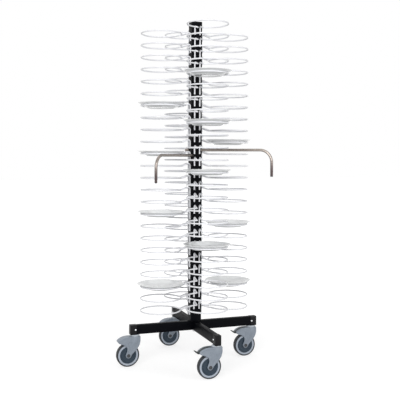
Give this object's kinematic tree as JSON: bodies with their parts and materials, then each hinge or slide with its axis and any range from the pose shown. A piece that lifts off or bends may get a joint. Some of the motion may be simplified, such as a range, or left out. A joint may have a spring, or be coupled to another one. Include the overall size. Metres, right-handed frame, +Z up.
{
  "type": "plate dispenser cart",
  "caption": "Mobile plate dispenser: tall square post with columns of wire plate hoops, two bent handles and a cross base on swivel castors.",
  "frame": {"origin": "On the floor, under the middle of the overall box. The post axis stands 36 mm towards +X of it, because every castor trails towards -X.", "axes": "+Z up along the post, +X and -X along the long base beam, -Y to the side that faces the viewer in the picture."},
  "size_m": [0.816, 0.743, 1.885],
  "materials": {
    "black_powder_coat": "satin black powder coat",
    "black_plastic": "moulded black plastic",
    "zinc_steel": "zinc-plated steel",
    "white_wire": "smooth white coating on steel wire",
    "glazed_china": "glazed white china",
    "satin_stainless": "satin stainless rod",
    "dark_plastic": "dark moulded plastic",
    "castor_grey": "blue-grey moulded nylon",
    "grey_rubber": "dark grey tyre",
    "light_grey_plastic": "light grey moulded plastic",
    "slate_plastic": "dark slate-blue moulded plastic"
  },
  "bodies": {
    "root": {"post": "black_powder_coat", "base_beam_long": "black_powder_coat", "base_beam_front": "black_powder_coat", "base_beam_rear": "black_powder_coat", "post_cap": "black_plastic", "beam_end_caps": "black_plastic", "cross_bolts": "zinc_steel", "cross_bolt_nuts": "zinc_steel", "hub_bolt": "zinc_steel", "hub_washer": "zinc_steel", "post_foot_block": "zinc_steel", "castor_stems": "zinc_steel", "swivel_heads": "zinc_steel", "holders_right": "white_wire", "holders_rear": "white_wire", "holders_left": "white_wire", "holders_front": "white_wire", "plates_left": "glazed_china", "plates_front": "glazed_china", "plates_right": "glazed_china", "handle_left": "satin_stainless", "handle_right": "satin_stainless", "handle_collars": "satin_stainless", "handle_tips": "dark_plastic"},
    "fork_right": {"fork_right": "castor_grey", "axle_pin_right": "zinc_steel", "axle_caps_right": "dark_plastic", "pedal_pins_right": "zinc_steel"},
    "wheel_right": {"tyre_right": "grey_rubber", "wheel_core_right": "light_grey_plastic", "wheel_discs_right": "slate_plastic"},
    "pedal_right": {"brake_pedal_right": "castor_grey"},
    "fork_rear": {"fork_rear": "castor_grey", "axle_pin_rear": "zinc_steel", "axle_caps_rear": "dark_plastic"},
    "wheel_rear": {"tyre_rear": "grey_rubber", "wheel_core_rear": "light_grey_plastic", "wheel_discs_rear": "slate_plastic"},
    "fork_left": {"fork_left": "castor_grey", "axle_pin_left": "zinc_steel", "axle_caps_left": "dark_plastic"},
    "wheel_left": {"tyre_left": "grey_rubber", "wheel_core_left": "light_grey_plastic", "wheel_discs_left": "slate_plastic"},
    "fork_front": {"fork_front": "castor_grey", "axle_pin_front": "zinc_steel", "axle_caps_front": "dark_plastic", "pedal_pins_front": "zinc_steel"},
    "wheel_front": {"tyre_front": "grey_rubber", "wheel_core_front": "light_grey_plastic", "wheel_discs_front": "slate_plastic"},
    "pedal_front": {"brake_pedal_front": "castor_grey"}
  },
  "joints": [
    {"name": "swivel_right", "type": "hinge", "parent": "root", "child": "fork_right", "pos_m": [0.3785, 0, 0.162], "axis": [0, 0, 1], "continuous": true},
    {"name": "wheel_spin_right", "type": "hinge", "parent": "fork_right", "child": "wheel_right", "pos_m": [0.3385, 0, 0.0625], "axis": [0, 1, 0], "continuous": true},
    {"name": "brake_right", "type": "hinge", "parent": "fork_right", "child": "pedal_right", "pos_m": [0.3685, 0, 0.151], "axis": [0, -1, 0], "range_deg": [0, 10]},
    {"name": "swivel_rear", "type": "hinge", "parent": "root", "child": "fork_rear", "pos_m": [0.0365, 0.342, 0.162], "axis": [0, 0, 1], "continuous": true},
    {"name": "wheel_spin_rear", "type": "hinge", "parent": "fork_rear", "child": "wheel_rear", "pos_m": [-0.0035, 0.342, 0.0625], "axis": [0, 1, 0], "continuous": true},
    {"name": "swivel_left", "type": "hinge", "parent": "root", "child": "fork_left", "pos_m": [-0.3055, 0, 0.162], "axis": [0, 0, 1], "continuous": true},
    {"name": "wheel_spin_left", "type": "hinge", "parent": "fork_left", "child": "wheel_left", "pos_m": [-0.3455, 0, 0.0625], "axis": [0, 1, 0], "continuous": true},
    {"name": "swivel_front", "type": "hinge", "parent": "root", "child": "fork_front", "pos_m": [0.0365, -0.342, 0.162], "axis": [0, 0, 1], "continuous": true},
    {"name": "wheel_spin_front", "type": "hinge", "parent": "fork_front", "child": "wheel_front", "pos_m": [-0.0035, -0.342, 0.0625], "axis": [0, 1, 0], "continuous": true},
    {"name": "brake_front", "type": "hinge", "parent": "fork_front", "child": "pedal_front", "pos_m": [0.0265, -0.342, 0.151], "axis": [0, -1, 0], "range_deg": [0, 10]}
  ]
}
